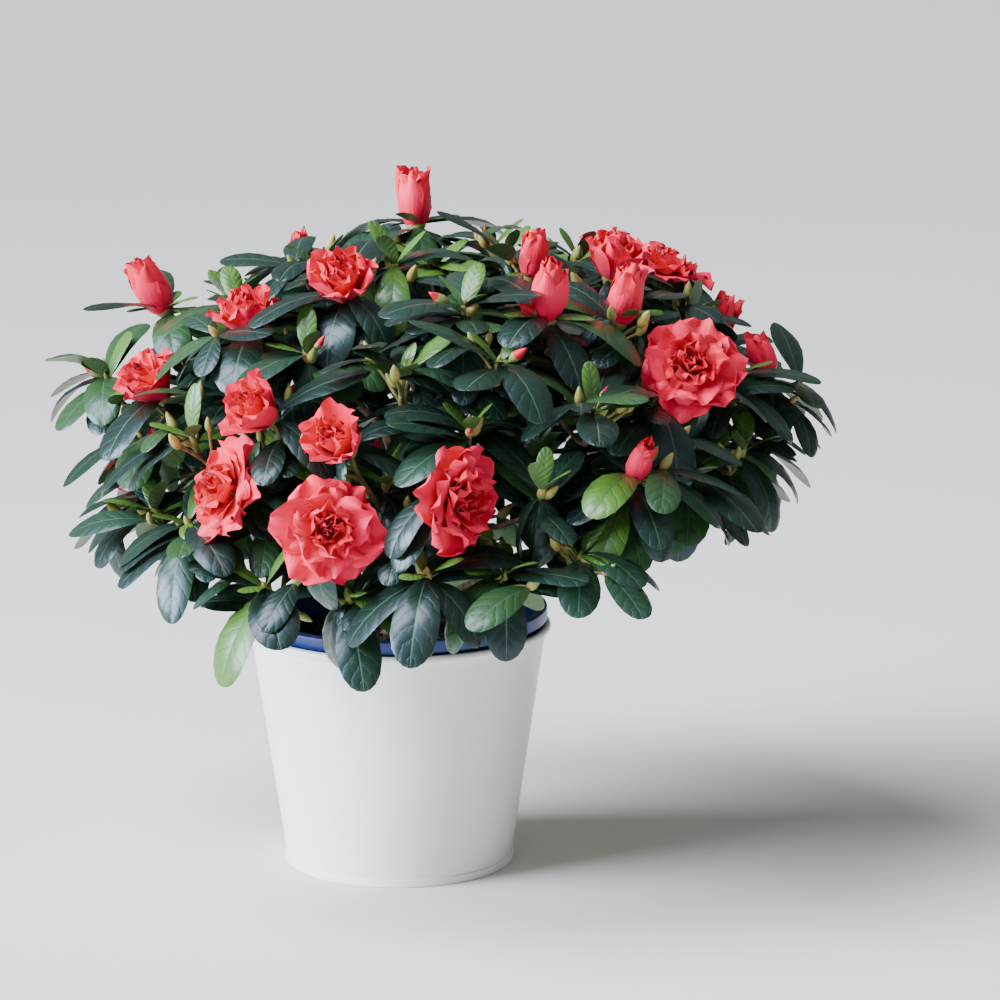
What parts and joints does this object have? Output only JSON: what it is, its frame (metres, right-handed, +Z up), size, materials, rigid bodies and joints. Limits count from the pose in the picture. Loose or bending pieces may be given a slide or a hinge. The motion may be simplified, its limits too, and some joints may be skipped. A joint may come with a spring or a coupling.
{
  "type": "potted azalea shrub",
  "caption": "Florist's azalea in bloom: a low spreading shrub of leathery leaves and coral double flowers on a short woody stem, in a nursery pot inside a white metal cachepot.",
  "frame": {"origin": "middle of the flat underside of the cachepot, which stands on the table", "axes": "+Z up along the cachepot's axis, +X to the right as seen from the front, -Y towards the viewer in front"},
  "size_m": [0.4006, 0.3688, 0.3417],
  "materials": {
    "enamel": "satin",
    "blue_plastic": "satin",
    "compost": "matte",
    "bark": "matte",
    "foliage": "satin"
  },
  "bodies": {
    "root": {"cachepot": "enamel", "nursery_pot": "blue_plastic", "compost": "compost", "main_stem": "bark", "bough_low_right": "bark", "bough_low_back_right": "bark", "bough_low_back": "bark", "bough_low_back_left": "bark", "bough_low_left": "bark", "bough_low_front_left": "bark", "bough_low_front": "bark", "bough_low_front_right": "bark", "bough_high_right": "bark", "bough_high_back": "bark", "bough_high_left": "bark", "bough_high_front": "bark", "bough_top": "bark", "foliage_low_right": "foliage", "foliage_low_back_right": "foliage", "foliage_low_back": "foliage", "foliage_low_back_left": "foliage", "foliage_low_left": "foliage", "foliage_low_front_left": "foliage", "foliage_low_front": "foliage", "foliage_low_front_right": "foliage", "foliage_high_right": "foliage", "foliage_high_back": "foliage", "foliage_high_left": "foliage", "foliage_high_front": "foliage", "foliage_top": "foliage"}
  },
  "joints": []
}
